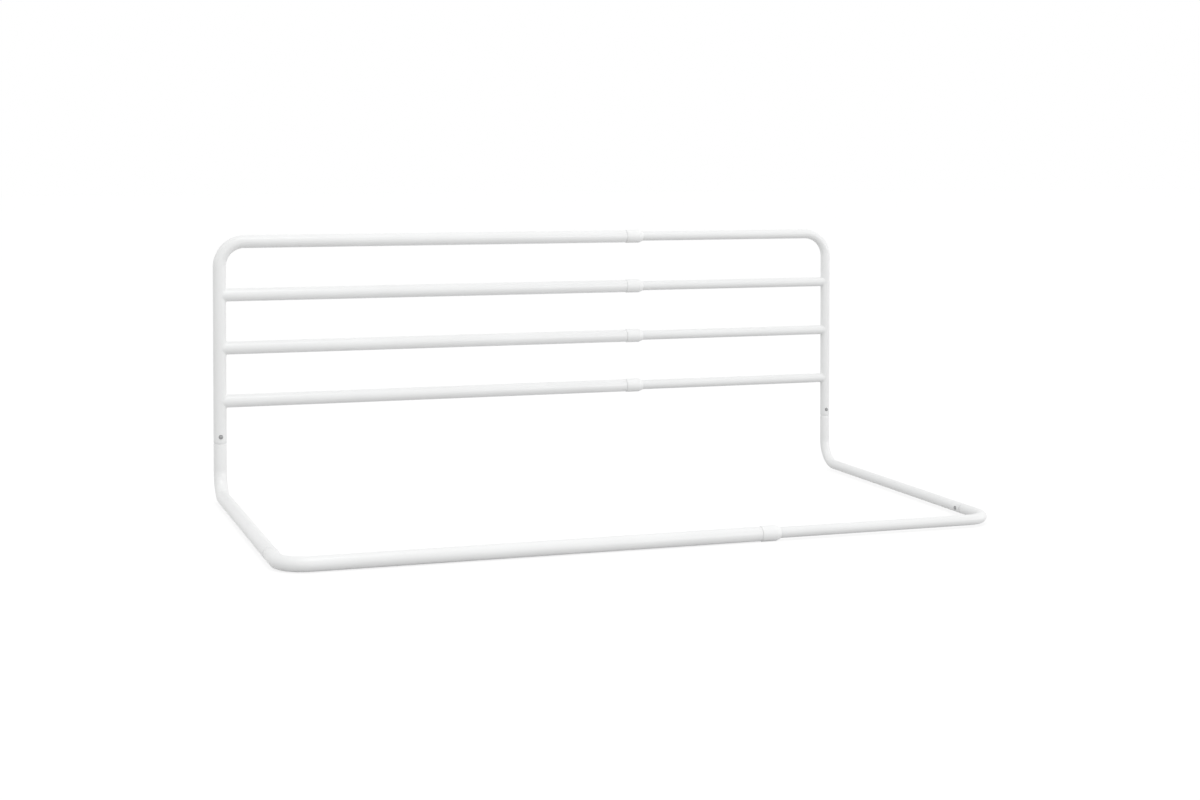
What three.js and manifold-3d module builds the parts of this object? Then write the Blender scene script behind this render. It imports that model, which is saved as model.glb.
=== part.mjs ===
import * as THREE from 'three';
import { mergeVertices } from 'three/addons/utils/BufferGeometryUtils.js';
import Module from 'manifold-3d';

// Bed guard rail in two telescoping halves, with a base frame that lies under the mattress.
// Millimetres, +Z up, +X along the rail, -Y towards the mattress.
// The origin is the middle of the footprint, on the surface that the rail stands on.

// Overall layout, between tube centrelines
const RAIL_WIDTH = 1280;
const BASE_DEPTH = 700;
const TOP_RAIL_HEIGHT = 487;
const CROSSBAR_PITCH = 102.5;
const CROSSBAR_NAMES = ['upper_crossbar', 'middle_crossbar', 'lower_crossbar'];

// Tubes: the left half is the wide tube, and the right half slides inside it
const WIDE_TUBE_RADIUS = 12.5;
const NARROW_TUBE_RADIUS = 9.5;
const TUBE_WALL = 1.2;
const BEND_RADIUS = 48;

// Play between pieces that touch, slide or plug together
const FIT_GAP = 0.3;

// Telescoping: where the wide tubes end, and how far the narrow ones travel
const WIDE_TUBE_END = 829;
const OUTWARD_TRAVEL = 100;
const STOP_GAP = 1;

// Collar at the mouth of each wide tube
const COLLAR_RADIUS = 13.5;
const COLLAR_LENGTH = 27;
const COLLAR_TAPER = 8.5;
const COLLAR_NOSE_WALL = 0.6;
const COLLAR_SPIGOT = 30;

// Glide plug in the inner end of each narrow tube
const GLIDE_HEAD = 15;
const GLIDE_SPIGOT = 20;
const GLIDE_WALL = 1.5;

// Plugged joints: the male end is swaged down and held by a sprung button
const UPRIGHT_SEAM_HEIGHT = 99;
const SIDE_SEAM_FROM_FRONT = 103;
const PLUG_LENGTH = 40;
const SWAGE_LENGTH = 4;
const BUTTON_FROM_SEAM = 13;

// Sprung button and its leaf spring
const WIDE_BUTTON_RADIUS = 4;
const NARROW_BUTTON_RADIUS = 3.3;
const BUTTON_PROUD = 1.8;
const BUTTON_DOME = 1.2;
const LEAF_THICKNESS = 0.6;
const LEAF_WIDTH = 8;
const LEAF_TAIL = 6;
const LEAF_FLAT = 8;
const LEAF_REACH = 30;
const LEAF_BEND_RADIUS = 1.2;

// Facets
const TUBE_SIDES = 24;
const BEND_STEPS = 8;
const BUTTON_SIDES = 16;
const DOME_STEPS = 4;
const CUTTER_OVERRUN = 5;

const wasm = await Module();
wasm.setup();

const WIDE = tubeSizes(WIDE_TUBE_RADIUS, WIDE_BUTTON_RADIUS);
const NARROW = tubeSizes(NARROW_TUBE_RADIUS, NARROW_BUTTON_RADIUS);
const NARROW_TUBE_END = WIDE_TUBE_END - COLLAR_SPIGOT - OUTWARD_TRAVEL - STOP_GAP;

// Every radius that goes with a tube's outer radius
function tubeSizes(outer, button) {
  const bore = outer - TUBE_WALL;
  const plug = bore - FIT_GAP;
  return { outer, bore, plug, plugBore: plug - TUBE_WALL, button };
}

function point(x, y, z) {
  return new THREE.Vector3(x, y, z);
}

// Materials

function paintedSteel() {
  return new THREE.MeshStandardMaterial({ color: 0xeeeeec, roughness: 0.38, metalness: 0.0 });
}

function whitePlastic() {
  return new THREE.MeshStandardMaterial({ color: 0xf1f1ef, roughness: 0.5, metalness: 0.0 });
}

function springSteel() {
  return new THREE.MeshStandardMaterial({ color: 0x8d8f92, roughness: 0.35, metalness: 0.9 });
}

// Swept tubes

// One ring of the section: its flats lie at the radius, so its corners stand a little further out
function sectionRing(at, along, side, radius) {
  const corner = radius / Math.cos(Math.PI / TUBE_SIDES);
  const across = new THREE.Vector3().crossVectors(along, side);
  const ring = [];
  for (let i = 0; i < TUBE_SIDES; i += 1) {
    const angle = ((i + 0.5) / TUBE_SIDES) * 2 * Math.PI;
    ring.push(
      at.clone()
        .addScaledVector(side, corner * Math.cos(angle))
        .addScaledVector(across, corner * Math.sin(angle)),
    );
  }
  return ring;
}

// The rings of one wall, without the stations where neither place nor radius changes
function wallRings(stations, side, radiusName) {
  const kept = stations.filter((station, i) => {
    const before = stations[i - 1];
    return !before || !before.at.equals(station.at) || before[radiusName] !== station[radiusName];
  });
  return kept.map((station) => sectionRing(station.at, station.along, side, station[radiusName]));
}

// A hollow tube through stations of { at, along, outer, bore }; side is square to its plane
function sweptTube(stations, side) {
  const outerRings = wallRings(stations, side, 'outer');
  const boreRings = wallRings(stations, side, 'bore').reverse();
  const rings = [...outerRings, ...boreRings];
  const positions = rings.flat().flatMap((p) => [p.x, p.y, p.z]);
  const index = [];
  rings.forEach((_, k) => {
    const here = k * TUBE_SIDES;
    const next = ((k + 1) % rings.length) * TUBE_SIDES;
    for (let i = 0; i < TUBE_SIDES; i += 1) {
      const j = (i + 1) % TUBE_SIDES;
      index.push(here + i, here + j, next + j);
      index.push(here + i, next + j, next + i);
    }
  });
  const geometry = new THREE.BufferGeometry();
  geometry.setAttribute('position', new THREE.Float32BufferAttribute(positions, 3));
  geometry.setIndex(index);
  geometry.computeVertexNormals();
  return geometry;
}

function station(at, along, outer, bore) {
  return { at, along, outer, bore };
}

// Stations from start round a square bend at corner to end
function bentStations(start, corner, end, tube) {
  const first = corner.clone().sub(start).normalize();
  const second = end.clone().sub(corner).normalize();
  const centre = corner.clone().addScaledVector(first, -BEND_RADIUS).addScaledVector(second, BEND_RADIUS);
  const stations = [station(start, first, tube.outer, tube.bore)];
  for (let step = 0; step <= BEND_STEPS; step += 1) {
    const angle = (step / BEND_STEPS) * (Math.PI / 2);
    const at = centre.clone()
      .addScaledVector(second, -BEND_RADIUS * Math.cos(angle))
      .addScaledVector(first, BEND_RADIUS * Math.sin(angle));
    const along = first.clone().multiplyScalar(Math.cos(angle)).addScaledVector(second, Math.sin(angle));
    stations.push(station(at, along, tube.outer, tube.bore));
  }
  stations.push(station(end, second, tube.outer, tube.bore));
  return stations;
}

// Stations of a swaged male end that runs up to the shoulder at seam, coming from its tip
function plugStations(seam, along, tube) {
  const tip = seam.clone().addScaledVector(along, -PLUG_LENGTH);
  const wallEnd = seam.clone().addScaledVector(along, TUBE_WALL);
  const swageEnd = seam.clone().addScaledVector(along, SWAGE_LENGTH);
  return [
    station(tip, along, tube.plug, tube.plugBore),
    station(seam, along, tube.plug, tube.plugBore),
    station(seam, along, tube.outer, tube.plugBore),
    station(wallEnd, along, tube.outer, tube.plugBore),
    station(swageEnd, along, tube.outer, tube.bore),
  ];
}

// Cutting

function toSolid(geometry) {
  const bare = geometry.clone();
  bare.deleteAttribute('normal');
  bare.deleteAttribute('uv');
  const merged = mergeVertices(bare);
  const vertProperties = new Float32Array(merged.attributes.position.array);
  const triVerts = new Uint32Array(merged.index.array);
  return new wasm.Manifold(new wasm.Mesh({ numProp: 3, vertProperties, triVerts }));
}

function cut(geometry, cutters) {
  const solid = cutters.reduce((left, cutter) => left.subtract(toSolid(cutter)), toSolid(geometry));
  const mesh = solid.getMesh();
  const result = new THREE.BufferGeometry();
  result.setAttribute('position', new THREE.BufferAttribute(mesh.vertProperties, 3));
  result.setIndex(new THREE.BufferAttribute(mesh.triVerts, 1));
  result.computeVertexNormals();
  return result;
}

// A solid rod with its flats at the radius, from start to end
function rod(start, end, radius, sides) {
  const length = start.distanceTo(end);
  const corner = radius / Math.cos(Math.PI / sides);
  const geometry = new THREE.CylinderGeometry(corner, corner, length, sides, 1, false, Math.PI / sides);
  const middle = start.clone().lerp(end, 0.5);
  geometry.applyQuaternion(turnFromY(end.clone().sub(start).normalize()));
  geometry.translate(middle.x, middle.y, middle.z);
  return geometry;
}

function turnFromY(direction) {
  return new THREE.Quaternion().setFromUnitVectors(point(0, 1, 0), direction);
}

// The drill for a button: it starts on the tube's axis and leaves through one wall
function buttonDrill(button, tube) {
  const end = button.at.clone().addScaledVector(button.out, tube.outer + CUTTER_OVERRUN);
  return rod(button.at, end, tube.button + FIT_GAP, BUTTON_SIDES);
}

// One half of the rail; half gives its tube, its upright's place and where its bars end

function upperFrameTube(half) {
  const start = point(half.uprightX, 0, UPRIGHT_SEAM_HEIGHT + FIT_GAP);
  const corner = point(half.uprightX, 0, TOP_RAIL_HEIGHT);
  const end = point(half.barEnd, 0, TOP_RAIL_HEIGHT);
  const stations = bentStations(start, corner, end, half.tube);
  const tube = sweptTube(stations, point(0, 1, 0));
  return cut(tube, [buttonDrill(uprightButton(half), half.tube)]);
}

function crossbar(half, height) {
  const start = point(half.uprightX, 0, height);
  const end = point(half.barEnd, 0, height);
  const along = end.clone().sub(start).normalize();
  const { outer, bore } = half.tube;
  const bar = sweptTube([station(start, along, outer, bore), station(end, along, outer, bore)], point(0, 1, 0));
  const reach = point(0, 0, outer + CUTTER_OVERRUN);
  const upright = rod(start.clone().sub(reach), start.clone().add(reach), outer + FIT_GAP, TUBE_SIDES);
  return cut(bar, [upright]);
}

function baseElbow(half) {
  const seam = point(half.uprightX, 0, UPRIGHT_SEAM_HEIGHT);
  const corner = point(half.uprightX, 0, 0);
  const end = point(half.uprightX, -BASE_DEPTH + SIDE_SEAM_FROM_FRONT + FIT_GAP, 0);
  const down = point(0, 0, -1);
  const stations = [
    ...plugStations(seam, down, half.tube),
    ...bentStations(seam, corner, end, half.tube).slice(1),
  ];
  const tube = sweptTube(stations, point(1, 0, 0));
  const drills = [buttonDrill(uprightButton(half), half.tube), buttonDrill(sideButton(half), half.tube)];
  return cut(tube, drills);
}

function frontTube(half) {
  const seam = point(half.uprightX, -BASE_DEPTH + SIDE_SEAM_FROM_FRONT, 0);
  const corner = point(half.uprightX, -BASE_DEPTH, 0);
  const end = point(half.barEnd, -BASE_DEPTH, 0);
  const forward = point(0, -1, 0);
  const stations = [
    ...plugStations(seam, forward, half.tube),
    ...bentStations(seam, corner, end, half.tube).slice(1),
  ];
  const tube = sweptTube(stations, point(0, 0, 1));
  return cut(tube, [buttonDrill(sideButton(half), half.tube)]);
}

// Buttons: at is on the tube's axis, out is the way the button points, deep leads into the male tube

function uprightButton(half) {
  return {
    at: point(half.uprightX, 0, UPRIGHT_SEAM_HEIGHT + BUTTON_FROM_SEAM),
    out: point(0, -1, 0),
    deep: point(0, 0, -1),
  };
}

function sideButton(half) {
  return {
    at: point(half.uprightX, -BASE_DEPTH + SIDE_SEAM_FROM_FRONT + BUTTON_FROM_SEAM, 0),
    out: point(half.inward, 0, 0),
    deep: point(0, -1, 0),
  };
}

// The leaf is flat, so its edges meet the round bore before its middle does
function leafSeat(tube) {
  return Math.sqrt(tube.plugBore ** 2 - (LEAF_WIDTH / 2) ** 2) - FIT_GAP;
}

function snapButton(button, tube) {
  const base = leafSeat(tube) + FIT_GAP;
  const tip = tube.outer + BUTTON_PROUD;
  const profile = [new THREE.Vector2(0, base), new THREE.Vector2(tube.button, base)];
  for (let step = 0; step <= DOME_STEPS; step += 1) {
    const angle = (step / DOME_STEPS) * (Math.PI / 2);
    const radius = step === DOME_STEPS ? 0 : tube.button * Math.cos(angle);
    profile.push(new THREE.Vector2(radius, tip - BUTTON_DOME + BUTTON_DOME * Math.sin(angle)));
  }
  const geometry = new THREE.LatheGeometry(profile, BUTTON_SIDES);
  geometry.applyQuaternion(turnFromY(button.out));
  geometry.translate(button.at.x, button.at.y, button.at.z);
  return geometry;
}

// A strip of even thickness along a polyline of (x, y) points
function ribbonShape(points, thickness) {
  const normals = points.map((p, i) => {
    const before = points[Math.max(i - 1, 0)];
    const after = points[Math.min(i + 1, points.length - 1)];
    const along = after.clone().sub(before).normalize();
    return new THREE.Vector2(-along.y, along.x);
  });
  const half = thickness / 2;
  const upper = points.map((p, i) => p.clone().addScaledVector(normals[i], half));
  const lower = points.map((p, i) => p.clone().addScaledVector(normals[i], -half));
  return new THREE.Shape([...upper, ...lower.reverse()]);
}

// V-shaped leaf: one leg carries the button, the other bears on the far side of the bore
function leafSpring(button, tube) {
  const seat = leafSeat(tube) - LEAF_THICKNESS / 2;
  const centreline = [
    new THREE.Vector2(-LEAF_TAIL, seat),
    new THREE.Vector2(LEAF_FLAT, seat),
    new THREE.Vector2(LEAF_REACH - LEAF_BEND_RADIUS, LEAF_BEND_RADIUS),
    new THREE.Vector2(LEAF_REACH, 0),
    new THREE.Vector2(LEAF_REACH - LEAF_BEND_RADIUS, -LEAF_BEND_RADIUS),
    new THREE.Vector2(-LEAF_TAIL, -seat),
  ];
  const shape = ribbonShape(centreline, LEAF_THICKNESS);
  const geometry = new THREE.ExtrudeGeometry(shape, { depth: LEAF_WIDTH, bevelEnabled: false });
  geometry.translate(0, 0, -LEAF_WIDTH / 2);
  const across = new THREE.Vector3().crossVectors(button.deep, button.out);
  geometry.applyMatrix4(new THREE.Matrix4().makeBasis(button.deep, button.out, across));
  geometry.translate(button.at.x, button.at.y, button.at.z);
  return geometry;
}

// Plastic collar: a spigot in the wide tube, a head outside it and a taper down to the narrow tube
function collar(y, z) {
  const bore = NARROW.outer + FIT_GAP;
  const profile = [
    [WIDE_TUBE_END - COLLAR_SPIGOT, WIDE.plug],
    [WIDE_TUBE_END + FIT_GAP, WIDE.plug],
    [WIDE_TUBE_END + FIT_GAP, COLLAR_RADIUS],
    [WIDE_TUBE_END + COLLAR_LENGTH, COLLAR_RADIUS],
    [WIDE_TUBE_END + COLLAR_LENGTH + COLLAR_TAPER, bore + COLLAR_NOSE_WALL],
  ];
  return turnedAlongX(profile, bore, y, z);
}

// Plastic glide: a head that runs in the wide tube and a spigot in the end of the narrow one
function glidePlug(y, z) {
  const profile = [
    [NARROW_TUBE_END - GLIDE_HEAD, WIDE.plug],
    [NARROW_TUBE_END - FIT_GAP, WIDE.plug],
    [NARROW_TUBE_END - FIT_GAP, NARROW.plug],
    [NARROW_TUBE_END + GLIDE_SPIGOT, NARROW.plug],
  ];
  return turnedAlongX(profile, NARROW.plug - GLIDE_WALL, y, z);
}

function turnedAlongX(profile, bore, y, z) {
  const along = point(1, 0, 0);
  return sweptTube(profile.map(([x, outer]) => station(point(x, y, z), along, outer, bore)), point(0, 1, 0));
}

// Assembly

function addPiece(group, name, geometry, material) {
  const mesh = new THREE.Mesh(geometry, material);
  mesh.name = name;
  group.add(mesh);
}

function crossbarHeight(i) {
  return TOP_RAIL_HEIGHT - CROSSBAR_PITCH * (i + 1);
}

function halfRail(half) {
  const group = new THREE.Group();
  addPiece(group, `${half.name}_upper_frame_tube`, upperFrameTube(half), paintedSteel());
  CROSSBAR_NAMES.forEach((name, i) => {
    addPiece(group, `${half.name}_${name}`, crossbar(half, crossbarHeight(i)), paintedSteel());
  });
  addPiece(group, `${half.name}_base_elbow`, baseElbow(half), paintedSteel());
  addPiece(group, `${half.name}_front_tube`, frontTube(half), paintedSteel());
  const buttons = { upright: uprightButton(half), side: sideButton(half) };
  Object.entries(buttons).forEach(([place, button]) => {
    addPiece(group, `${half.name}_${place}_button`, snapButton(button, half.tube), springSteel());
    addPiece(group, `${half.name}_${place}_button_spring`, leafSpring(button, half.tube), springSteel());
  });
  return group;
}

function telescopeFittings() {
  const group = new THREE.Group();
  const bars = { top_rail: [0, TOP_RAIL_HEIGHT], front_bar: [-BASE_DEPTH, 0] };
  CROSSBAR_NAMES.forEach((name, i) => {
    bars[name] = [0, crossbarHeight(i)];
  });
  Object.entries(bars).forEach(([name, [y, z]]) => {
    addPiece(group, `${name}_collar`, collar(y, z), whitePlastic());
    addPiece(group, `${name}_glide_plug`, glidePlug(y, z), whitePlastic());
  });
  return group;
}

const rail = new THREE.Group();
rail.add(halfRail({ name: 'left', tube: WIDE, uprightX: 0, barEnd: WIDE_TUBE_END, inward: 1 }));
rail.add(halfRail({ name: 'right', tube: NARROW, uprightX: RAIL_WIDTH, barEnd: NARROW_TUBE_END, inward: -1 }));
rail.add(telescopeFittings());
const leftEdge = -WIDE_TUBE_RADIUS;
const rightEdge = RAIL_WIDTH + NARROW_TUBE_RADIUS;
rail.position.set(-(leftEdge + rightEdge) / 2, BASE_DEPTH / 2, COLLAR_RADIUS);

export default rail;
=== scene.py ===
import math

import bpy
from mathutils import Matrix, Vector


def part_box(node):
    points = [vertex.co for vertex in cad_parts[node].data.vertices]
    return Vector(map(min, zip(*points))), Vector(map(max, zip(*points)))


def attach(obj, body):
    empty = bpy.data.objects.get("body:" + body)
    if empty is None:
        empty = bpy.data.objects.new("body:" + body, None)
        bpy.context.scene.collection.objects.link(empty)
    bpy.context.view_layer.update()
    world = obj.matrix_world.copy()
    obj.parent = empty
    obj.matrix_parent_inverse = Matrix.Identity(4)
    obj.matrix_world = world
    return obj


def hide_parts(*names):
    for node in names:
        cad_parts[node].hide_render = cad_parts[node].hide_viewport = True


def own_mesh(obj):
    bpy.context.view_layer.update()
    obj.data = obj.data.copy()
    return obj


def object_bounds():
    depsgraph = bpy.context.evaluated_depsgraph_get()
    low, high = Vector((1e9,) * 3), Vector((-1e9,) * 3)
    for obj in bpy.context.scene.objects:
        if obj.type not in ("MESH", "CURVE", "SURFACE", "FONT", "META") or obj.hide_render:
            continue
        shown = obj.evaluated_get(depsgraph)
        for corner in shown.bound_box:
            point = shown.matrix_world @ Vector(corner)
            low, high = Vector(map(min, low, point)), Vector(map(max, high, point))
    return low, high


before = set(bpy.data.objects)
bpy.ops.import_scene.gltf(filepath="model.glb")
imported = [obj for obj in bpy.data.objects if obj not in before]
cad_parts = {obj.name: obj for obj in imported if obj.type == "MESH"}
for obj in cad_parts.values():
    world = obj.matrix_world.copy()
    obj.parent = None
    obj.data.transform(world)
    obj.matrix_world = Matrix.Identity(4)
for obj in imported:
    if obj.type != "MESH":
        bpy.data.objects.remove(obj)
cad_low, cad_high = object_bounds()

# Metres. +X runs along the rail, from the wide half to the narrow one.
# -Y points from the upright panel under the mattress, to the front bar. +Z is up.

MM = 0.001

# Tubes: what the frame's boxes don't give
FIT_GAP = 0.3 * MM
TUBE_WALL = 1.2 * MM
BEND_RADIUS = 48 * MM
BEND_FLATTENING_SHARE = 0.015
END_ROUNDING = 0.25 * MM
END_CHAMFER_SHARE = 0.3
SHOULDER_LENGTH = 2.6 * MM
SWAGE_LENGTH = 4 * MM

# Weld bead round the foot of each crossbar
BEAD_RADIUS = 1.25 * MM
BEAD_LIFT_SHARE = 0.35
BEAD_RIPPLE_SHARE = 0.045
BEAD_RIPPLE_PITCH = 1.9 * MM

# Collars and glide plugs
FITTING_ROUNDING = 0.9 * MM
COLLAR_LENGTH = 27 * MM
COLLAR_NOSE_WALL = 0.5 * MM
COLLAR_TAPER_POWER = 1.1
GLIDE_HEAD = 15 * MM
GLIDE_WALL = 1.5 * MM
GLIDE_GROOVE = 0.6 * MM
GLIDE_GROOVE_SHARES = (0.35, 0.65)

# Buttons and their leaf springs
BUTTON_DOME = 1.2 * MM
LEAF_THICKNESS = 0.6 * MM
LEAF_WIDTH = 8 * MM
LEAF_REACH = 30 * MM
LEAF_FLAT = 8 * MM
LEAF_TAIL = 6 * MM
LEAF_FOLD_RADIUS = 2 * LEAF_THICKNESS
LEAF_CORNERS = 4

# Fineness of the meshes
SIDES = 72
BEND_STEPS = 40
SHOULDER_STEPS = 8
BEAD_STEPS = 220
BEAD_SIDES = 12
DRILL_SIDES = 40
DOME_STEPS = 10
RIM_STEPS = 5
TAPER_STEPS = 14
HOLE_RING_PITCH = 1 * MM
HOLE_RING_MARGIN = 2 * MM
SHARP_ANGLE = math.radians(32)

# Squeeze of a section that isn't flattened
ROUND = 1

AXIS_X = 0
AXIS_Y = 1
AXIS_Z = 2
X = Vector((1, 0, 0))
Y = Vector((0, 1, 0))
Z = Vector((0, 0, 1))


# Sizes read from the frame

def node_span(name, axis):
    """Lowest and highest value of a CAD node along an axis."""
    low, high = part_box(name)
    return low[axis], high[axis]


def node_middle(name, axis):
    low, high = node_span(name, axis)
    return (low + high) / 2


def node_width(name, axis):
    low, high = node_span(name, axis)
    return high - low


def half_sizes(name, inward):
    """Every place and radius of one half; inward is 1 where its bars run towards +X, or else -1."""
    upper = f"{name}_upper_frame_tube"
    elbow = f"{name}_base_elbow"
    front = f"{name}_front_tube"
    outer = node_width(upper, AXIS_Y) / 2
    panel_low, panel_high = node_span(upper, AXIS_X)
    bore = outer - TUBE_WALL
    plug = bore - FIT_GAP
    return {
        "name": name,
        "body": f"{name}_half",
        "inward": inward,
        "outer": outer,
        "bore": bore,
        "plug": plug,
        "plug_bore": plug - TUBE_WALL,
        "upright_x": panel_low + outer if inward > 0 else panel_high - outer,
        "bar_end": panel_high if inward > 0 else panel_low,
        "panel_y": node_middle(upper, AXIS_Y),
        "top_z": node_span(upper, AXIS_Z)[1] - outer,
        "upright_foot": node_span(upper, AXIS_Z)[0],
        "plug_tip_z": node_span(elbow, AXIS_Z)[1],
        "base_z": node_middle(front, AXIS_Z),
        "front_y": node_span(front, AXIS_Y)[0] + outer,
        "side_end_y": node_span(elbow, AXIS_Y)[0],
        "side_plug_tip_y": node_span(front, AXIS_Y)[1],
    }


LEFT = half_sizes("left", 1)
RIGHT = half_sizes("right", -1)
CROSSBARS = ["upper_crossbar", "middle_crossbar", "lower_crossbar"]
TELESCOPES = ["top_rail", *CROSSBARS, "front_bar"]


# Materials

# The part of a noise texture's range that is spread over the whole of a colour or gloss range
NOISE_LOW = 0.3
NOISE_HIGH = 0.7

# How fine each pattern is
COAT_SHADE_SCALE = 9
COAT_GLOSS_SCALE = 60
COAT_PEEL_SCALE = 520
COAT_GRAIN_SCALE = 3200
PLASTIC_FLOW_SCALE = 45
PLASTIC_GLOSS_SCALE = 220
PLASTIC_GRAIN_SCALE = 2400
STEEL_CLOUD_SCALE = 260
STEEL_SCRATCH_SCALE = 1800

# How high the bumps are
COAT_PEEL_HEIGHT = 0.045 * MM
COAT_GRAIN_HEIGHT = 0.006 * MM
PLASTIC_GRAIN_HEIGHT = 0.012 * MM
STEEL_SCRATCH_HEIGHT = 0.01 * MM

COAT_IOR = 1.5
PLASTIC_IOR = 1.49


def new_material(name):
    material = bpy.data.materials.new(name)
    material.use_nodes = True
    nodes = material.node_tree.nodes
    return material, nodes, material.node_tree.links, nodes["Principled BSDF"]


def noise(nodes, links, place, scale, detail, roughness=0.5):
    texture = nodes.new("ShaderNodeTexNoise")
    texture.inputs["Scale"].default_value = scale
    texture.inputs["Detail"].default_value = detail
    texture.inputs["Roughness"].default_value = roughness
    links.new(place, texture.inputs["Vector"])
    return texture.outputs["Fac"]


def remapped(nodes, links, value, low, high):
    """A noise value spread from low to high."""
    spread = nodes.new("ShaderNodeMapRange")
    spread.inputs["From Min"].default_value = NOISE_LOW
    spread.inputs["From Max"].default_value = NOISE_HIGH
    spread.inputs["To Min"].default_value = low
    spread.inputs["To Max"].default_value = high
    links.new(value, spread.inputs["Value"])
    return spread.outputs["Result"]


def mixed_colour(nodes, links, value, colours):
    first, second = colours
    mix = nodes.new("ShaderNodeMix")
    mix.data_type = "RGBA"
    mix.inputs["A"].default_value = (*first, 1)
    mix.inputs["B"].default_value = (*second, 1)
    links.new(value, mix.inputs["Factor"])
    return mix.outputs["Result"]


def bump(nodes, links, height, distance, before=None):
    node = nodes.new("ShaderNodeBump")
    node.inputs["Strength"].default_value = 1.0
    node.inputs["Distance"].default_value = distance
    links.new(height, node.inputs["Height"])
    if before is not None:
        links.new(before, node.inputs["Normal"])
    return node.outputs["Normal"]


def object_place(nodes):
    return nodes.new("ShaderNodeTexCoord").outputs["Object"]


def connect(links, shader, colour, gloss, normal):
    links.new(colour, shader.inputs["Base Color"])
    links.new(gloss, shader.inputs["Roughness"])
    links.new(normal, shader.inputs["Normal"])


def powder_coat(name, colours, roughness):
    """Powder coat on steel: orange peel, faint unevenness in shade and gloss."""
    material, nodes, links, shader = new_material(name)
    place = object_place(nodes)
    shade = remapped(nodes, links, noise(nodes, links, place, COAT_SHADE_SCALE, detail=3), 0, 1)
    colour = mixed_colour(nodes, links, shade, colours)
    gloss = remapped(nodes, links, noise(nodes, links, place, COAT_GLOSS_SCALE, detail=4), *roughness)
    peel = noise(nodes, links, place, COAT_PEEL_SCALE, detail=2, roughness=0.45)
    grain = noise(nodes, links, place, COAT_GRAIN_SCALE, detail=1)
    normal = bump(nodes, links, peel, COAT_PEEL_HEIGHT)
    normal = bump(nodes, links, grain, COAT_GRAIN_HEIGHT, normal)
    connect(links, shader, colour, gloss, normal)
    shader.inputs["IOR"].default_value = COAT_IOR
    return material


def moulded_plastic(name, colours, roughness):
    """Injection-moulded plastic: fine spark-eroded grain and soft flow marks."""
    material, nodes, links, shader = new_material(name)
    place = object_place(nodes)
    flow = remapped(nodes, links, noise(nodes, links, place, PLASTIC_FLOW_SCALE, detail=3), 0, 1)
    colour = mixed_colour(nodes, links, flow, colours)
    gloss = remapped(nodes, links, noise(nodes, links, place, PLASTIC_GLOSS_SCALE, detail=3), *roughness)
    grain = noise(nodes, links, place, PLASTIC_GRAIN_SCALE, detail=3, roughness=0.6)
    connect(links, shader, colour, gloss, bump(nodes, links, grain, PLASTIC_GRAIN_HEIGHT))
    shader.inputs["IOR"].default_value = PLASTIC_IOR
    return material


def scratched_steel(name, colours, roughness, scratch_stretch):
    """Bare or plated steel: fine scratches drawn out along one way, and cloudy shades."""
    material, nodes, links, shader = new_material(name)
    place = object_place(nodes)
    stretch = nodes.new("ShaderNodeMapping")
    stretch.inputs["Scale"].default_value = scratch_stretch
    links.new(place, stretch.inputs["Vector"])
    cloud = remapped(nodes, links, noise(nodes, links, place, STEEL_CLOUD_SCALE, detail=3), 0, 1)
    colour = mixed_colour(nodes, links, cloud, colours)
    drawn_out = stretch.outputs["Vector"]
    scratches = noise(nodes, links, drawn_out, STEEL_SCRATCH_SCALE, detail=3, roughness=0.6)
    gloss = remapped(nodes, links, scratches, *roughness)
    connect(links, shader, colour, gloss, bump(nodes, links, scratches, STEEL_SCRATCH_HEIGHT))
    shader.inputs["Metallic"].default_value = 1.0
    return material


COAT = powder_coat(
    "white_powder_coat",
    colours=((0.867, 0.871, 0.869), (0.887, 0.892, 0.891)),
    roughness=(0.30, 0.40),
)
COLLAR_PLASTIC = moulded_plastic(
    "white_collar_plastic",
    colours=((0.899, 0.903, 0.901), (0.919, 0.923, 0.922)),
    roughness=(0.42, 0.52),
)
GLIDE_PLASTIC = moulded_plastic(
    "natural_glide_plastic",
    colours=((0.70, 0.69, 0.66), (0.76, 0.755, 0.73)),
    roughness=(0.5, 0.62),
)
BUTTON_STEEL = scratched_steel(
    "zinc_plated_steel",
    colours=((0.275, 0.277, 0.280), (0.345, 0.347, 0.350)),
    roughness=(0.28, 0.42),
    scratch_stretch=(1, 1, 0.15),
)
SPRING_STEEL = scratched_steel(
    "spring_steel",
    colours=((0.22, 0.225, 0.235), (0.30, 0.305, 0.315)),
    roughness=(0.25, 0.4),
    scratch_stretch=(1, 1, 0.08),
)


# Meshes

def mesh_object(name, points, faces, material):
    mesh = bpy.data.meshes.new(name)
    mesh.from_pydata(points, [], faces)
    mesh.validate()
    mesh.update()
    piece = bpy.data.objects.new(name, mesh)
    bpy.context.scene.collection.objects.link(piece)
    mesh.materials.append(material)
    smooth(piece)
    return piece


def smooth(piece):
    """Shades the piece smooth, apart from its sharp edges."""
    piece.data.polygons.foreach_set("use_smooth", [True] * len(piece.data.polygons))
    piece.data.set_sharp_from_angle(angle=SHARP_ANGLE)


def claim(piece, node, body):
    """The piece rides on its body and stands in for its CAD node, which is hidden."""
    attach(piece, body)
    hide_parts(node)


def ring(at, along, side, radius, squeeze, sides):
    """Points of a round section; squeeze draws it in within the plane of the bend."""
    across = along.cross(side)
    points = []
    for i in range(sides):
        angle = 2 * math.pi * i / sides
        points.append(
            at + side * (radius * math.cos(angle)) + across * (radius * squeeze * math.sin(angle))
        )
    return points


def ring_faces(first, second, sides):
    """Faces between two rings, given by the numbers of their first points."""
    return [
        (first + i, first + (i + 1) % sides, second + (i + 1) % sides, second + i)
        for i in range(sides)
    ]


def loop_faces(count, sides):
    """Faces of a body of count rings, the last of which joins the first."""
    faces = []
    for k in range(count):
        faces.extend(ring_faces(k * sides, (k + 1) % count * sides, sides))
    return faces


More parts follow.
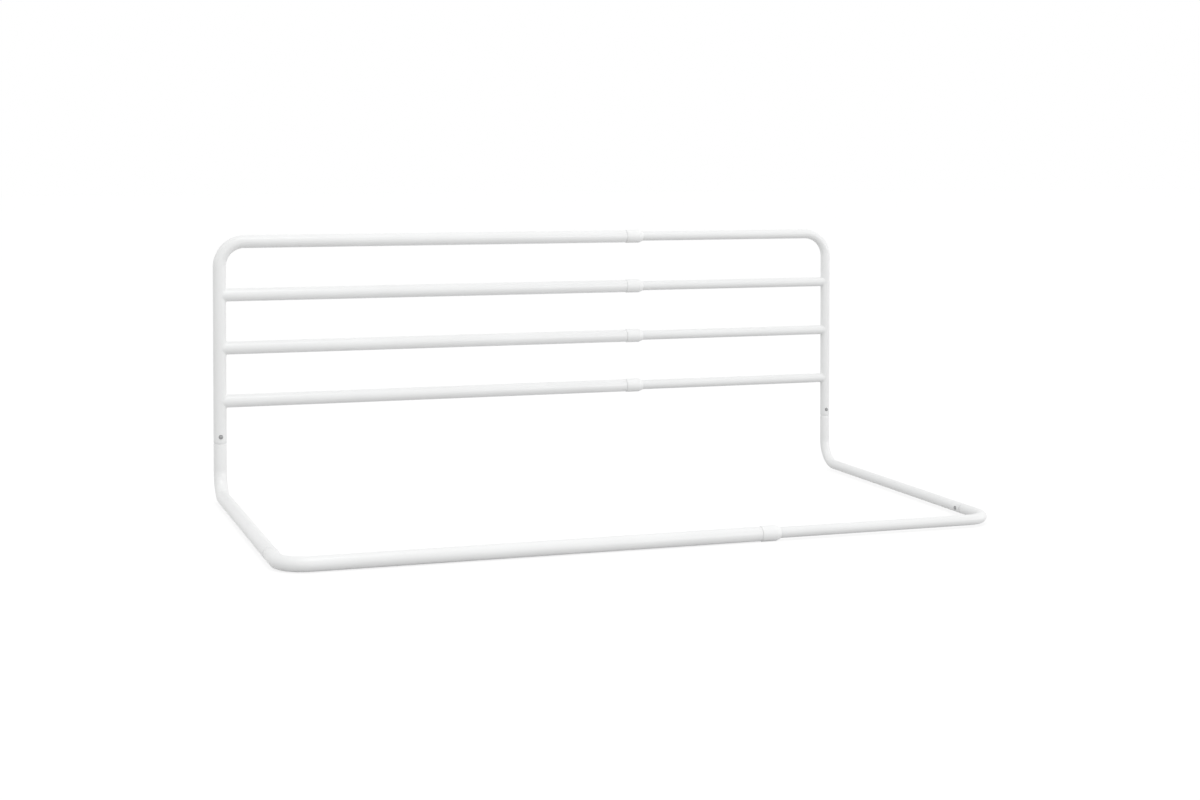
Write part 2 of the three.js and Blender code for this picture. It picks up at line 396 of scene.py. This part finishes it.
def closed_sweep(name, outer, bore, side, material):
    """A hollow body: rings of the outer wall there and of the bore back, joined at both ends."""
    rings = [*outer, *reversed(bore)]
    points = []
    for at, along, radius, squeeze in rings:
        points.extend(ring(at, along, side, radius, squeeze, SIDES))
    return mesh_object(name, points, loop_faces(len(rings), SIDES), material)


def apply_modifier(piece, modifier):
    """Replaces the piece's mesh by its mesh with the modifier on it."""
    graph = bpy.context.evaluated_depsgraph_get()
    result = bpy.data.meshes.new_from_object(piece.evaluated_get(graph))
    piece.modifiers.remove(modifier)
    piece.data = result


def drill_out(piece, button):
    """Cuts the hole for a button through the wall that it points at."""
    radius = button["radius"] + FIT_GAP
    drill_length = 2 * LEFT["outer"]
    far_end = button["at"] + button["out"] * drill_length
    start = ring(button["at"], button["out"], button["deep"], radius, ROUND, DRILL_SIDES)
    end = ring(far_end, button["out"], button["deep"], radius, ROUND, DRILL_SIDES)
    faces = ring_faces(0, DRILL_SIDES, DRILL_SIDES)
    faces.append(tuple(reversed(range(DRILL_SIDES))))
    faces.append(tuple(range(DRILL_SIDES, 2 * DRILL_SIDES)))
    cutter = mesh_object("drill", [*start, *end], faces, COAT)
    modifier = piece.modifiers.new("drill", "BOOLEAN")
    modifier.operation = "DIFFERENCE"
    modifier.solver = "EXACT"
    modifier.object = cutter
    apply_modifier(piece, modifier)
    bpy.data.objects.remove(cutter)


# Stretches of tube, as rings of the outer wall and of the bore

def bend_path(start, corner, end):
    """Places, directions and bend shares round a square bend, and the ways into and out of it."""
    first = (corner - start).normalized()
    second = (end - corner).normalized()
    centre = corner - first * BEND_RADIUS + second * BEND_RADIUS
    path = []
    for step in range(BEND_STEPS + 1):
        angle = step / BEND_STEPS * math.pi / 2
        at = centre - second * (BEND_RADIUS * math.cos(angle)) + first * (BEND_RADIUS * math.sin(angle))
        along = first * math.cos(angle) + second * math.sin(angle)
        path.append((at, along, math.sin(2 * angle)))
    return path, first, second


def bend_rings(path, radius):
    """Rings round the bend, flattened a little where the tube is bent."""
    return [(at, along, radius, ROUND - BEND_FLATTENING_SHARE * share) for at, along, share in path]


def hole_rings(button, along, radius):
    """Close rings where a hole is drilled, so that the shading round it stays even."""
    reach = button["radius"] + HOLE_RING_MARGIN
    count = math.ceil(reach / HOLE_RING_PITCH)
    rings = []
    for k in range(-count, count + 1):
        rings.append((button["at"] + along * HOLE_RING_PITCH * k, along, radius, ROUND))
    return rings


def open_end(end, along, outer, bore):
    """A plain cut end with its edges rounded, reached along the tube."""
    chamfer = END_ROUNDING * END_CHAMFER_SHARE
    outer_rings = [
        (end - along * END_ROUNDING, along, outer, ROUND),
        (end - along * chamfer, along, outer - chamfer, ROUND),
        (end, along, outer - END_ROUNDING, ROUND),
    ]
    bore_rings = [
        (end - along * END_ROUNDING, along, bore, ROUND),
        (end, along, bore + END_ROUNDING, ROUND),
    ]
    return outer_rings, bore_rings


def turned_round(rings, along):
    """The same rings in the opposite order, facing along."""
    return [(at, along, radius, squeeze) for at, _, radius, squeeze in reversed(rings)]


def open_start(start, along, outer, bore):
    """A plain cut end like open_end's, left along the tube."""
    outer_rings, bore_rings = open_end(start, -along, outer, bore)
    return turned_round(outer_rings, along), turned_round(bore_rings, along)


def male_start(tip, seam, along, half, button):
    """A swaged end, from its tip past its button's hole and the shoulder at the seam."""
    outer_rings, bore_rings = open_start(tip, along, half["plug"], half["plug_bore"])
    outer_rings += hole_rings(button, along, half["plug"])
    bore_rings += hole_rings(button, along, half["plug_bore"])
    for step in range(SHOULDER_STEPS + 1):
        share = step / SHOULDER_STEPS
        rise = (half["outer"] - half["plug"]) * (1 - math.cos(share * math.pi)) / 2
        outer_rings.append((seam + along * SHOULDER_LENGTH * share, along, half["plug"] + rise, ROUND))
    bore_rings += [
        (seam + along * TUBE_WALL, along, half["plug_bore"], ROUND),
        (seam + along * SWAGE_LENGTH, along, half["bore"], ROUND),
    ]
    return outer_rings, bore_rings


def bent_tube(half, node, bend, start_rings, end_rings, side, buttons):
    """A tube with one bend between the rings of its two ends, drilled for its buttons."""
    start_outer, start_bore = start_rings
    end_outer, end_bore = end_rings
    outer = [*start_outer, *bend_rings(bend, half["outer"]), *end_outer]
    bore = [*start_bore, *bend_rings(bend, half["bore"]), *end_bore]
    piece = closed_sweep(f"fine_{node}", outer, bore, side, COAT)
    for button in buttons:
        drill_out(piece, button)
    smooth(piece)
    claim(piece, node, half["body"])


# Places of the buttons of one half

def upright_button(half):
    """Its place on the tube's axis, the way out that it points, and the way deep into its tube."""
    node = f"{half['name']}_upright_button"
    at = Vector((half["upright_x"], half["panel_y"], node_middle(node, AXIS_Z)))
    radius = node_width(node, AXIS_Z) / 2
    return {"node": node, "at": at, "out": -Y, "deep": -Z, "radius": radius}


def side_button(half):
    """As upright_button, for the joint of the side tube."""
    node = f"{half['name']}_side_button"
    at = Vector((half["upright_x"], node_middle(node, AXIS_Y), half["base_z"]))
    radius = node_width(node, AXIS_Z) / 2
    return {"node": node, "at": at, "out": X * half["inward"], "deep": -Y, "radius": radius}


# Tubes of one half

def upper_frame(half):
    """The upright and its part of the top rail."""
    start = Vector((half["upright_x"], half["panel_y"], half["upright_foot"]))
    corner = Vector((half["upright_x"], half["panel_y"], half["top_z"]))
    end = Vector((half["bar_end"], half["panel_y"], half["top_z"]))
    button = upright_button(half)
    bend, first, second = bend_path(start, corner, end)
    start_outer, start_bore = open_start(start, first, half["outer"], half["bore"])
    start_outer += hole_rings(button, first, half["outer"])
    start_bore += hole_rings(button, first, half["bore"])
    end_rings = open_end(end, second, half["outer"], half["bore"])
    node = f"{half['name']}_upper_frame_tube"
    bent_tube(half, node, bend, (start_outer, start_bore), end_rings, Y, [button])


def base_elbow(half):
    """The foot of the upright and the side of the base."""
    tip = Vector((half["upright_x"], half["panel_y"], half["plug_tip_z"]))
    seam = Vector((half["upright_x"], half["panel_y"], half["upright_foot"] - FIT_GAP))
    corner = Vector((half["upright_x"], half["panel_y"], half["base_z"]))
    end = Vector((half["upright_x"], half["side_end_y"], half["base_z"]))
    foot_button = upright_button(half)
    end_button = side_button(half)
    bend, first, second = bend_path(seam, corner, end)
    start_rings = male_start(tip, seam, first, half, foot_button)
    end_outer, end_bore = open_end(end, second, half["outer"], half["bore"])
    end_outer = hole_rings(end_button, second, half["outer"]) + end_outer
    end_bore = hole_rings(end_button, second, half["bore"]) + end_bore
    node = f"{half['name']}_base_elbow"
    bent_tube(half, node, bend, start_rings, (end_outer, end_bore), X, [foot_button, end_button])


def front_tube(half):
    """The front corner and its part of the front bar."""
    tip = Vector((half["upright_x"], half["side_plug_tip_y"], half["base_z"]))
    seam = Vector((half["upright_x"], half["side_end_y"] - FIT_GAP, half["base_z"]))
    corner = Vector((half["upright_x"], half["front_y"], half["base_z"]))
    end = Vector((half["bar_end"], half["front_y"], half["base_z"]))
    button = side_button(half)
    bend, first, second = bend_path(seam, corner, end)
    start_rings = male_start(tip, seam, first, half, button)
    end_rings = open_end(end, second, half["outer"], half["bore"])
    node = f"{half['name']}_front_tube"
    bent_tube(half, node, bend, start_rings, end_rings, Z, [button])


# Crossbars of one half

def saddle(radius, upright_radius, angle, inward):
    """How far from the upright's axis a bar of this radius meets it, at this angle round the bar."""
    across = radius * math.cos(angle)
    return inward * math.sqrt(max(upright_radius ** 2 - across ** 2, 0))


def saddle_ring(bar, radius, upright_radius):
    """Points round the bar where it meets the upright, in the order of ring()."""
    points = []
    for i in range(SIDES):
        angle = 2 * math.pi * i / SIDES
        reach = saddle(radius, upright_radius, angle, bar["inward"])
        offset = Y * (radius * math.cos(angle)) + bar["across"] * (radius * math.sin(angle))
        points.append(bar["foot"] + X * reach + offset)
    return points


def crossbar(half, short_name):
    """A straight bar whose foot is cut to the round of the upright, with its weld bead."""
    node = f"{half['name']}_{short_name}"
    height = node_middle(node, AXIS_Z)
    along = X * half["inward"]
    bar = {
        "inward": half["inward"],
        "foot": Vector((half["upright_x"], half["panel_y"], height)),
        "across": along.cross(Y),
    }
    end = Vector((half["bar_end"], half["panel_y"], height))
    end_outer, end_bore = open_end(end, along, half["outer"], half["bore"])
    seat = half["outer"] + FIT_GAP
    points = saddle_ring(bar, half["outer"], seat)
    for at, way, radius, squeeze in [*end_outer, *reversed(end_bore)]:
        points.extend(ring(at, way, Y, radius, squeeze, SIDES))
    points.extend(saddle_ring(bar, half["bore"], seat))
    faces = loop_faces(len(points) // SIDES, SIDES)
    piece = mesh_object(f"fine_{node}", points, faces, COAT)
    claim(piece, node, half["body"])
    weld_bead(half, bar, node)


def weld_bead(half, bar, node):
    """A rippled bead where the crossbar meets the upright, lifted into the corner above and below."""
    radius = half["outer"]
    lift = BEAD_RADIUS * BEAD_LIFT_SHARE
    centres = []
    for i in range(BEAD_STEPS):
        angle = 2 * math.pi * i / BEAD_STEPS
        reach = saddle(radius, radius, angle, bar["inward"])
        out = Y * math.cos(angle) + bar["across"] * math.sin(angle)
        corner = abs(math.sin(angle))
        centre = bar["foot"] + X * (reach + bar["inward"] * lift * corner)
        centres.append((centre + out * (radius - BEAD_RADIUS + 2 * lift * corner), angle))
    points = []
    for i, (centre, angle) in enumerate(centres):
        after = centres[(i + 1) % BEAD_STEPS][0]
        before = centres[i - 1][0]
        along = (after - before).normalized()
        side = along.cross(X).normalized()
        ripple = 1 + BEAD_RIPPLE_SHARE * math.cos(angle * radius / BEAD_RIPPLE_PITCH * 2 * math.pi)
        points.extend(ring(centre, along, side, BEAD_RADIUS * ripple, ROUND, BEAD_SIDES))
    bead = mesh_object(f"weld_{node}", points, loop_faces(BEAD_STEPS, BEAD_SIDES), COAT)
    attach(bead, half["body"])


# Turned plastic fittings

def fitting_box(node):
    """Corners of a fitting's CAD box, its middle and the radius of its head."""
    low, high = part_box(node)
    return low, high, (low + high) / 2, (high.y - low.y) / 2


def turned(name, outline, bore_outline, middle, material):
    """A hollow body turned about a bar's axis, from (x, radius) points of its outside and bore."""
    outer = [(Vector((x, middle.y, middle.z)), X, radius, ROUND) for x, radius in outline]
    bore = [(Vector((x, middle.y, middle.z)), X, radius, ROUND) for x, radius in bore_outline]
    return closed_sweep(name, outer, bore, Y, material)


def rounded_rim(face_x, radius):
    """Points of the quarter round between the face at face_x and the flank of this radius."""
    points = []
    for step in reversed(range(RIM_STEPS + 1)):
        angle = step / RIM_STEPS * math.pi / 2
        inset = FITTING_ROUNDING * (1 - math.sin(angle))
        drop = FITTING_ROUNDING * (1 - math.cos(angle))
        points.append((face_x + inset, radius - drop))
    return points


def collar_taper(start_x, start_radius, end_x, end_radius):
    """Points of the taper, which starts with a soft shoulder and stops short of the rounded nose."""
    points = []
    for step in range(TAPER_STEPS + 1):
        share = step / TAPER_STEPS
        x = start_x + (end_x - END_ROUNDING - start_x) * share
        fall = share ** COLLAR_TAPER_POWER
        points.append((x, start_radius + (end_radius - start_radius) * fall))
    return points


def collar(name):
    """Its spigot sits in the mouth of the wide bar, and the narrow bar slides in its bore."""
    node = f"{name}_collar"
    low, high, middle, head = fitting_box(node)
    seam = LEFT["bar_end"] + FIT_GAP
    shoulder = LEFT["bar_end"] + COLLAR_LENGTH
    bore = RIGHT["outer"] + FIT_GAP
    nose = bore + COLLAR_NOSE_WALL
    outline = [
        (low.x, LEFT["plug"] - END_ROUNDING),
        (low.x + END_ROUNDING, LEFT["plug"]),
        (seam, LEFT["plug"]),
        *rounded_rim(seam, head),
        (shoulder - FITTING_ROUNDING, head),
        *collar_taper(shoulder, head, high.x, nose),
        (high.x, nose - END_ROUNDING),
    ]
    bore_outline = [
        (low.x, bore + END_ROUNDING),
        (low.x + END_ROUNDING, bore),
        (high.x - END_ROUNDING, bore),
        (high.x, bore + END_ROUNDING),
    ]
    piece = turned(f"fine_{node}", outline, bore_outline, middle, COLLAR_PLASTIC)
    claim(piece, node, "left_half")


def glide_plug(name):
    """Its spigot sits in the inner end of the narrow bar, and its grooved head runs in the wide bar."""
    node = f"{name}_glide_plug"
    low, high, middle, head = fitting_box(node)
    spigot = RIGHT["plug"]
    bore = spigot - GLIDE_WALL
    face = low.x + GLIDE_HEAD - FIT_GAP
    grooves = []
    for share in GLIDE_GROOVE_SHARES:
        groove_x = low.x + GLIDE_HEAD * share
        grooves += [
            (groove_x - GLIDE_GROOVE, head),
            (groove_x - GLIDE_GROOVE / 2, head - GLIDE_GROOVE),
            (groove_x + GLIDE_GROOVE / 2, head - GLIDE_GROOVE),
            (groove_x + GLIDE_GROOVE, head),
        ]
    outline = [
        (low.x, head - FITTING_ROUNDING),
        (low.x + FITTING_ROUNDING, head),
        *grooves,
        (face - END_ROUNDING, head),
        (face, head - END_ROUNDING),
        (face, spigot),
        (high.x - FITTING_ROUNDING, spigot),
        (high.x, spigot - FITTING_ROUNDING),
    ]
    bore_outline = [(low.x, bore), (high.x, bore)]
    piece = turned(f"fine_{node}", outline, bore_outline, middle, GLIDE_PLASTIC)
    claim(piece, node, "right_half")


# Sprung buttons

def snap_button(button):
    """A pin with a domed tip, which reaches from its leaf spring out through both walls."""
    node = button["node"]
    at = button["at"]
    out = button["out"]
    edge = button["radius"]
    low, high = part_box(node)
    axis = AXIS_X if out.x else AXIS_Y
    base, tip = sorted([abs(low[axis] - at[axis]), abs(high[axis] - at[axis])])
    profile = [(base, edge - END_ROUNDING), (base + END_ROUNDING, edge)]
    for step in range(DOME_STEPS):
        angle = step / DOME_STEPS * math.pi / 2
        profile.append((tip - BUTTON_DOME + BUTTON_DOME * math.sin(angle), edge * math.cos(angle)))
    points = [at + out * base]
    for reach, radius in profile:
        points.extend(ring(at + out * reach, out, button["deep"], radius, ROUND, DRILL_SIDES))
    points.append(at + out * tip)
    last_ring = 1 + (len(profile) - 1) * DRILL_SIDES
    faces = []
    for i in range(DRILL_SIDES):
        following = (i + 1) % DRILL_SIDES
        faces.append((0, 1 + following, 1 + i))
        faces.append((last_ring + i, last_ring + following, len(points) - 1))
    for first in range(1, last_ring, DRILL_SIDES):
        faces.extend(ring_faces(first, first + DRILL_SIDES, DRILL_SIDES))
    piece = mesh_object(f"fine_{node}", points, faces, BUTTON_STEEL)
    claim(piece, node, node)


def leaf_line(seat):
    """The V of a leaf from its front leg round the fold to its back leg, as (deep, out) points."""
    line = [(-LEAF_TAIL, seat), (LEAF_FLAT, seat)]
    for step in range(DOME_STEPS + 1):
        angle = math.pi / 2 - step / DOME_STEPS * math.pi
        deep = LEAF_REACH - LEAF_FOLD_RADIUS + LEAF_FOLD_RADIUS * math.cos(angle)
        line.append((deep, LEAF_FOLD_RADIUS * math.sin(angle)))
    line.append((-LEAF_TAIL, -seat))
    return line


def leaf_spring(half, button):
    """V-shaped leaf: its front leg follows the button and its back leg bears on the bore."""
    node = f"{button['node']}_spring"
    bore_seat = math.sqrt(half["plug_bore"] ** 2 - (LEAF_WIDTH / 2) ** 2) - FIT_GAP
    line = leaf_line(bore_seat - LEAF_THICKNESS / 2)
    across = button["deep"].cross(button["out"])
    points = []
    for i, (deep, out) in enumerate(line):
        before = line[max(i - 1, 0)]
        after = line[min(i + 1, len(line) - 1)]
        along = Vector((after[0] - before[0], after[1] - before[1])).normalized()
        for out_side in (1, -1):
            shift = out_side * LEAF_THICKNESS / 2
            inwards = button["deep"] * (deep - along.y * shift)
            outwards = button["out"] * (out + along.x * shift)
            at = button["at"] + inwards + outwards
            for width_side in (out_side, -out_side):
                points.append(at + across * (width_side * LEAF_WIDTH / 2))
    last = len(points) - LEAF_CORNERS
    faces = [(0, 1, 2, 3)]
    for here in range(0, last, LEAF_CORNERS):
        there = here + LEAF_CORNERS
        for i in range(LEAF_CORNERS):
            following = (i + 1) % LEAF_CORNERS
            faces.append((here + i, there + i, there + following, here + following))
    faces.append((last + 3, last + 2, last + 1, last))
    piece = mesh_object(f"fine_{node}", points, faces, SPRING_STEEL)
    claim(piece, node, half["body"])
    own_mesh(piece)


def half_rail(half):
    upper_frame(half)
    for name in CROSSBARS:
        crossbar(half, name)
    base_elbow(half)
    front_tube(half)
    for button in (upright_button(half), side_button(half)):
        snap_button(button)
        leaf_spring(half, button)


# Stage

FLOOR_SIZE = 60.0
FLOOR_SHADOW_SHARE = 0.25
FLOOR_GLOW_SHARE = 0.80
FLOOR_BOUNCE = 0.50
WHITE = (1, 1, 1, 1)


def grey(share):
    return (share, share, share, 1)


def larger(nodes, links, first, second):
    node = nodes.new("ShaderNodeMath")
    node.operation = "MAXIMUM"
    links.new(first, node.inputs[0])
    links.new(second, node.inputs[1])
    return node.outputs[0]


def backdrop_rays(nodes, links):
    """1 for the rays that show the white backdrop: to the camera, in gloss and through glass."""
    rays = nodes.new("ShaderNodeLightPath").outputs
    seen_or_reflected = larger(nodes, links, rays["Is Camera Ray"], rays["Is Glossy Ray"])
    return larger(nodes, links, seen_or_reflected, rays["Is Transmission Ray"])


def show_white(nodes, links, lit, white, output):
    """Gives the output white for the backdrop's rays, and lit for the light that falls on the rail."""
    choose = nodes.new("ShaderNodeMixShader")
    links.new(backdrop_rays(nodes, links), choose.inputs["Fac"])
    links.new(lit.outputs[0], choose.inputs[1])
    links.new(white.outputs[0], choose.inputs[2])
    links.new(choose.outputs[0], output.inputs["Surface"])


def floor_material():
    """White where it is seen or reflected, with the object's soft shadow kept."""
    material = bpy.data.materials.new("studio_floor")
    material.use_nodes = True
    nodes = material.node_tree.nodes
    links = material.node_tree.links
    nodes.clear()
    shadow = nodes.new("ShaderNodeBsdfDiffuse")
    shadow.inputs["Color"].default_value = grey(FLOOR_SHADOW_SHARE)
    glow = nodes.new("ShaderNodeEmission")
    glow.inputs["Color"].default_value = WHITE
    glow.inputs["Strength"].default_value = FLOOR_GLOW_SHARE
    white = nodes.new("ShaderNodeAddShader")
    links.new(shadow.outputs[0], white.inputs[0])
    links.new(glow.outputs[0], white.inputs[1])
    plain = nodes.new("ShaderNodeBsdfDiffuse")
    plain.inputs["Color"].default_value = grey(FLOOR_BOUNCE)
    show_white(nodes, links, plain, white, nodes.new("ShaderNodeOutputMaterial"))
    return material


def floor():
    half = FLOOR_SIZE / 2
    height = cad_low.z
    points = [(-half, -half, height), (half, -half, height), (half, half, height), (-half, half, height)]
    piece = mesh_object("floor", points, [(0, 1, 2, 3)], floor_material())


# Light

AIR_STRENGTH = 0.81
BACKDROP_STRENGTH = 1.0
LAMP_TARGET = Vector((0, 0, 0.25))


def background(nodes, strength):
    node = nodes.new("ShaderNodeBackground")
    node.inputs["Color"].default_value = WHITE
    node.inputs["Strength"].default_value = strength
    return node


def world_light():
    """Studio air: plain white where it is seen or reflected, and an even light from all round."""
    world = bpy.data.worlds.new("studio_air")
    bpy.context.scene.world = world
    world.use_nodes = True
    nodes = world.node_tree.nodes
    links = world.node_tree.links
    nodes.clear()
    even = background(nodes, AIR_STRENGTH)
    white = background(nodes, BACKDROP_STRENGTH)
    show_white(nodes, links, even, white, nodes.new("ShaderNodeOutputWorld"))


def softbox(name, place, size, watts):
    data = bpy.data.lights.new(name, "AREA")
    data.shape = "RECTANGLE"
    data.size, data.size_y = size
    data.energy = watts
    lamp = bpy.data.objects.new(name, data)
    lamp.location = place
    lamp.rotation_euler = (LAMP_TARGET - Vector(place)).to_track_quat("-Z", "Y").to_euler()
    bpy.context.scene.collection.objects.link(lamp)


def lights():
    world_light()
    softbox("high_front_softbox", place=(-0.3, -1.4, 3.4), size=(1.0, 1.0), watts=18)
    softbox("front_right_softbox", place=(10.0, -10.0, 3.6), size=(6.0, 4.8), watts=275)
    softbox("low_front_softbox", place=(-1.5, -6.0, 0.7), size=(3.0, 1.0), watts=24)
    softbox("right_softbox", place=(11.0, -1.5, 1.6), size=(6.0, 2.4), watts=111)
    softbox("left_softbox", place=(-5.5, -1.5, 1.6), size=(3.0, 2.4), watts=16)


# Camera

CAMERA_PLACE = (-1.1521, -3.4526, 0.6649)
CAMERA_AZIMUTH = math.radians(18.695)
CAMERA_PITCH = math.radians(1.42)
CAMERA_CLIP_END = 200
PICTURE_WIDTH_PX = 1200
PICTURE_HEIGHT_PX = 800
FOCAL_PX = 1960.2
LENS_CENTRE_HEIGHT_PX = 205
SENSOR_WIDTH_MM = 36.0


def camera():
    """A nearly level view, whose shift puts the lens centre high in the picture."""
    data = bpy.data.cameras.new("camera")
    data.sensor_fit = "HORIZONTAL"
    data.sensor_width = SENSOR_WIDTH_MM
    data.lens = SENSOR_WIDTH_MM * FOCAL_PX / PICTURE_WIDTH_PX
    data.shift_y = -(PICTURE_HEIGHT_PX / 2 - LENS_CENTRE_HEIGHT_PX) / PICTURE_WIDTH_PX
    data.clip_end = CAMERA_CLIP_END
    eye = bpy.data.objects.new("camera", data)
    level = math.cos(CAMERA_PITCH)
    to_right = math.sin(CAMERA_AZIMUTH) * level
    to_back = math.cos(CAMERA_AZIMUTH) * level
    forward = Vector((to_right, to_back, -math.sin(CAMERA_PITCH)))
    eye.location = CAMERA_PLACE
    eye.rotation_euler = forward.to_track_quat("-Z", "Y").to_euler()
    bpy.context.scene.collection.objects.link(eye)
    bpy.context.scene.camera = eye


camera()
half_rail(LEFT)
half_rail(RIGHT)
for telescope in TELESCOPES:
    collar(telescope)
    glide_plug(telescope)
floor()
lights()
bpy.context.scene.view_settings.view_transform = "Standard"
